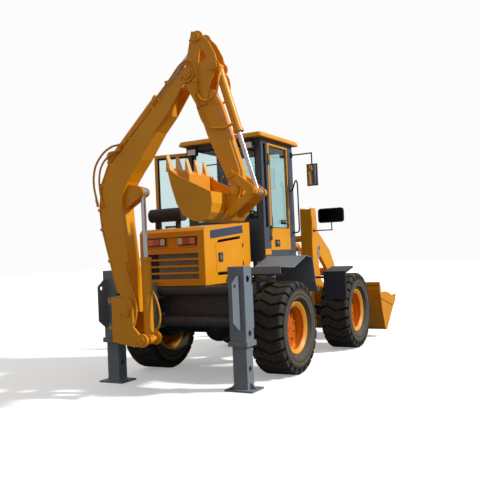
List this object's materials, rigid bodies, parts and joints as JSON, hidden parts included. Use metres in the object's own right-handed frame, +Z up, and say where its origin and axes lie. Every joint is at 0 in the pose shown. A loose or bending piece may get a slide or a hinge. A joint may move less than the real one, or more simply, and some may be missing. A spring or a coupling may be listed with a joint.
{
  "type": "backhoe loader",
  "caption": "Articulated wheel loader with a cab, hood, front bucket on lift arms, and a backhoe on a side-shifting carriage between two stabilizer legs.",
  "frame": {"origin": "point on the ground plane under the articulation pin, midway between the axles", "axes": "+X forward, +Y to the machine's left, +Z up"},
  "size_m": [6.401, 2.7963, 3.956],
  "materials": {
    "navy": "satin",
    "grey": "satin",
    "black_parts": "matte",
    "yellow": "satin",
    "rods": "polished",
    "glass": "clear",
    "lamp_red": "glossy",
    "tyre": "matte",
    "rim": "satin"
  },
  "bodies": {
    "rear_body": {"rear_frame": "navy", "rear_axle": "navy", "stabilizer_frame": "grey", "engine": "black_parts", "hood": "yellow", "air_cleaner": "black_parts", "cab_shell": "navy", "cab_roof": "yellow", "cab_glass": "glass", "seat": "black_parts", "controls": "black_parts", "rear_fenders": "grey", "lamps": "lamp_red", "cab_mirrors": "black_parts"},
    "door_right": {"door_right": "grey", "door_right_glass": "glass"},
    "door_left": {"door_left": "grey", "door_left_glass": "glass"},
    "front_body": {"front_frame": "yellow", "front_axle": "navy", "front_fenders": "black_parts", "tower_mirrors": "black_parts"},
    "loader_arms": {"loader_arms": "yellow"},
    "bucket_pins": {"bucket_pins": "rods"},
    "loader_bucket": {"loader_bucket": "yellow"},
    "bellcrank_pin": {"bellcrank_pin": "rods"},
    "bellcrank": {"bellcrank": "yellow"},
    "link_pin": {"link_pin": "rods"},
    "tilt_link": {"tilt_link": "yellow"},
    "lift_barrels": {"lift_barrels": "yellow"},
    "lift_rods": {"lift_rods": "rods"},
    "tilt_barrel": {"tilt_barrel": "yellow"},
    "tilt_rod": {"tilt_rod": "rods"},
    "steer_barrel_left": {"steer_barrel_left": "black_parts"},
    "steer_rod_left": {"steer_rod_left": "rods"},
    "steer_barrel_right": {"steer_barrel_right": "black_parts"},
    "steer_rod_right": {"steer_rod_right": "rods"},
    "carriage": {"carriage": "grey"},
    "swing_post": {"swing_post": "yellow"},
    "boom": {"boom": "yellow"},
    "stick": {"stick": "yellow"},
    "dig_bucket": {"dig_bucket": "yellow"},
    "rocker": {"rocker": "yellow"},
    "bucket_link": {"bucket_link": "yellow"},
    "boom_barrel": {"boom_barrel": "yellow"},
    "boom_rod": {"boom_rod": "rods"},
    "stick_barrel": {"stick_barrel": "yellow"},
    "stick_rod": {"stick_rod": "rods"},
    "bucket_barrel": {"bucket_barrel": "yellow"},
    "bucket_rod": {"bucket_rod": "rods"},
    "leg_left": {"leg_left": "grey"},
    "leg_right": {"leg_right": "grey"},
    "wheel_rear_left": {"tyre_rear_left": "tyre", "rim_rear_left": "rim"},
    "wheel_rear_right": {"tyre_rear_right": "tyre", "rim_rear_right": "rim"},
    "wheel_front_left": {"tyre_front_left": "tyre", "rim_front_left": "rim"},
    "wheel_front_right": {"tyre_front_right": "tyre", "rim_front_right": "rim"}
  },
  "joints": [
    {"name": "wheel_rear_left", "type": "hinge", "parent": "rear_body", "child": "wheel_rear_left", "pos_m": [-1.16, 0.968, 0.5875], "axis": [0, 1, 0], "continuous": true},
    {"name": "wheel_rear_right", "type": "hinge", "parent": "rear_body", "child": "wheel_rear_right", "pos_m": [-1.16, -0.968, 0.5875], "axis": [0, 1, 0], "continuous": true},
    {"name": "wheel_front_left", "type": "hinge", "parent": "front_body", "child": "wheel_front_left", "pos_m": [1.16, 0.968, 0.5875], "axis": [0, 1, 0], "continuous": true},
    {"name": "wheel_front_right", "type": "hinge", "parent": "front_body", "child": "wheel_front_right", "pos_m": [1.16, -0.968, 0.5875], "axis": [0, 1, 0], "continuous": true},
    {"name": "steering", "type": "hinge", "parent": "rear_body", "child": "front_body", "pos_m": [0, 0, 0.7], "axis": [0, 0, 1], "range_deg": [-35, 35]},
    {"name": "steer_barrel_left", "type": "hinge", "parent": "rear_body", "child": "steer_barrel_left", "pos_m": [-0.6, 0.22, 0.64], "axis": [0, 0, 1], "range_deg": [-7.43, 7.43]},
    {"name": "steer_rod_left", "type": "slide", "parent": "steer_barrel_left", "child": "steer_rod_left", "axis": [0.9966, 0.0819, 0], "range_m": [-0.1594, 0.1594]},
    {"name": "steer_barrel_right", "type": "hinge", "parent": "rear_body", "child": "steer_barrel_right", "pos_m": [-0.6, -0.22, 0.64], "axis": [0, 0, 1], "range_deg": [-7.43, 7.43]},
    {"name": "steer_rod_right", "type": "slide", "parent": "steer_barrel_right", "child": "steer_rod_right", "axis": [0.9966, -0.0819, 0], "range_m": [-0.1594, 0.1594]},
    {"name": "loader_lift", "type": "hinge", "parent": "front_body", "child": "loader_arms", "pos_m": [1.03, 0, 1.9], "axis": [0, -1, 0], "range_deg": [-3, 85]},
    {"name": "bucket_level", "type": "hinge", "parent": "loader_arms", "child": "bucket_pins", "pos_m": [2.285, 0, 0.37], "axis": [0, 1, 0], "range_deg": [-2.63, 72.33]},
    {"name": "loader_tilt", "type": "hinge", "parent": "bucket_pins", "child": "loader_bucket", "pos_m": [2.285, 0, 0.37], "axis": [0, 1, 0], "range_deg": [0, 84]},
    {"name": "bell_level", "type": "hinge", "parent": "loader_arms", "child": "bellcrank_pin", "pos_m": [1.66, 0, 1.16], "axis": [0, -1, 0], "range_deg": [-1.04, 27.34]},
    {"name": "bellcrank", "type": "hinge", "parent": "bellcrank_pin", "child": "bellcrank", "pos_m": [1.66, 0, 1.16], "axis": [0, -1, 0], "range_deg": [-0.5, 32.19]},
    {"name": "link_level", "type": "hinge", "parent": "bellcrank", "child": "link_pin", "pos_m": [1.56, 0, 0.8], "axis": [0, 1, 0], "range_deg": [-1.55, 41.63]},
    {"name": "tilt_link", "type": "hinge", "parent": "link_pin", "child": "tilt_link", "pos_m": [1.56, 0, 0.8], "axis": [0, 1, 0], "range_deg": [-0.5, 48.8]},
    {"name": "tilt_barrel", "type": "hinge", "parent": "front_body", "child": "tilt_barrel", "pos_m": [1.05, 0, 1.75], "axis": [0, -1, 0], "range_deg": [-2.84, 78.28]},
    {"name": "tilt_rod", "type": "slide", "parent": "tilt_barrel", "child": "tilt_rod", "axis": [0.9681, 0, -0.2506], "range_m": [-0.2292, 0.002]},
    {"name": "lift_barrels", "type": "hinge", "parent": "front_body", "child": "lift_barrels", "pos_m": [1.12, 0, 0.78], "axis": [0, -1, 0], "range_deg": [-0.2, 3.48]},
    {"name": "lift_rods", "type": "slide", "parent": "lift_barrels", "child": "lift_rods", "axis": [0.2257, 0, 0.9742], "range_m": [-0.02, 0.5513]},
    {"name": "carriage_slide", "type": "slide", "parent": "rear_body", "child": "carriage", "axis": [0, -1, 0], "range_m": [0, 0.9]},
    {"name": "swing", "type": "hinge", "parent": "carriage", "child": "swing_post", "pos_m": [-2.78, 0.45, 0.9], "axis": [0, 0, -1], "range_deg": [0, 180]},
    {"name": "boom_lift", "type": "hinge", "parent": "swing_post", "child": "boom", "pos_m": [-2.78, 0.156, 0.96], "axis": [1, 0, 0], "range_deg": [0, 95]},
    {"name": "boom_barrel", "type": "hinge", "parent": "swing_post", "child": "boom_barrel", "pos_m": [-2.78, -0.043, 0.633], "axis": [1, 0, 0], "range_deg": [-0.08, 89.32]},
    {"name": "boom_rod", "type": "slide", "parent": "boom_barrel", "child": "boom_rod", "axis": [0, 0.0054, 1], "range_m": [-0.5481, 0.0006]},
    {"name": "stick_fold", "type": "hinge", "parent": "boom", "child": "stick", "pos_m": [-2.78, -0.764, 3.503], "axis": [-1, 0, 0], "range_deg": [0, 110]},
    {"name": "stick_barrel", "type": "hinge", "parent": "boom", "child": "stick_barrel", "pos_m": [-2.78, 0.345, 2.739], "axis": [1, 0, 0], "range_deg": [-4.13, 0.08]},
    {"name": "stick_rod", "type": "slide", "parent": "stick_barrel", "child": "stick_rod", "axis": [0, -0.7351, 0.678], "range_m": [-0.6462, 0.0006]},
    {"name": "bucket_curl", "type": "hinge", "parent": "stick", "child": "dig_bucket", "pos_m": [-2.78, -1.288, 2.207], "axis": [-1, 0, 0], "range_deg": [0, 150]},
    {"name": "rocker", "type": "hinge", "parent": "stick", "child": "rocker", "pos_m": [-2.78, -1.234, 2.389], "axis": [-1, 0, 0], "range_deg": [-0.08, 101.57]},
    {"name": "bucket_link", "type": "hinge", "parent": "rocker", "child": "bucket_link", "pos_m": [-2.78, -1.5, 2.18], "axis": [1, 0, 0], "range_deg": [-0.08, 38.78]},
    {"name": "bucket_barrel", "type": "hinge", "parent": "stick", "child": "bucket_barrel", "pos_m": [-2.78, -1.097, 3.536], "axis": [1, 0, 0], "range_deg": [-2.4, 0.08]},
    {"name": "bucket_rod", "type": "slide", "parent": "bucket_barrel", "child": "bucket_rod", "axis": [0, -0.2849, -0.9586], "range_m": [-0.5226, 0.0006]},
    {"name": "leg_left", "type": "slide", "parent": "rear_body", "child": "leg_left", "axis": [0, 0, 1], "range_m": [0, 0.4]},
    {"name": "leg_right", "type": "slide", "parent": "rear_body", "child": "leg_right", "axis": [0, 0, 1], "range_m": [0, 0.4]},
    {"name": "door_right", "type": "hinge", "parent": "rear_body", "child": "door_right", "pos_m": [-0.68, -0.612, 0], "axis": [0, 0, -1], "range_deg": [0, 95]},
    {"name": "door_left", "type": "hinge", "parent": "rear_body", "child": "door_left", "pos_m": [-0.68, 0.612, 0], "axis": [0, 0, -1], "range_deg": [-4, 100]}
  ],
  "couplings": [
    {"joint": "steer_barrel_left", "follows": "steering", "ratio": 0.21},
    {"joint": "steer_rod_left", "follows": "steering", "m_per_rad": -0.26},
    {"joint": "steer_barrel_right", "follows": "steering", "ratio": 0.21},
    {"joint": "steer_rod_right", "follows": "steering", "m_per_rad": 0.26},
    {"joint": "bucket_level", "follows": "loader_lift", "ratio": 0.85},
    {"joint": "bell_level", "follows": "loader_lift", "ratio": 0.3207},
    {"joint": "bellcrank", "follows": "loader_tilt", "ratio": 0.3773},
    {"joint": "link_level", "follows": "loader_lift", "ratio": 0.4888},
    {"joint": "tilt_link", "follows": "loader_tilt", "ratio": 0.575},
    {"joint": "tilt_barrel", "follows": "loader_lift", "ratio": 0.92},
    {"joint": "tilt_rod", "follows": "loader_tilt", "m_per_rad": -0.155},
    {"joint": "lift_barrels", "follows": "loader_lift", "ratio": 0.04},
    {"joint": "lift_rods", "follows": "loader_lift", "m_per_rad": 0.3712},
    {"joint": "boom_barrel", "follows": "boom_lift", "ratio": 0.9394},
    {"joint": "boom_rod", "follows": "boom_lift", "m_per_rad": -0.3302},
    {"joint": "stick_barrel", "follows": "stick_fold", "ratio": -0.0368},
    {"joint": "stick_rod", "follows": "stick_fold", "m_per_rad": -0.3363},
    {"joint": "rocker", "follows": "bucket_curl", "ratio": 0.6766},
    {"joint": "bucket_link", "follows": "bucket_curl", "ratio": 0.258},
    {"joint": "bucket_barrel", "follows": "bucket_curl", "ratio": -0.0155},
    {"joint": "bucket_rod", "follows": "bucket_curl", "m_per_rad": -0.1994}
  ]
}
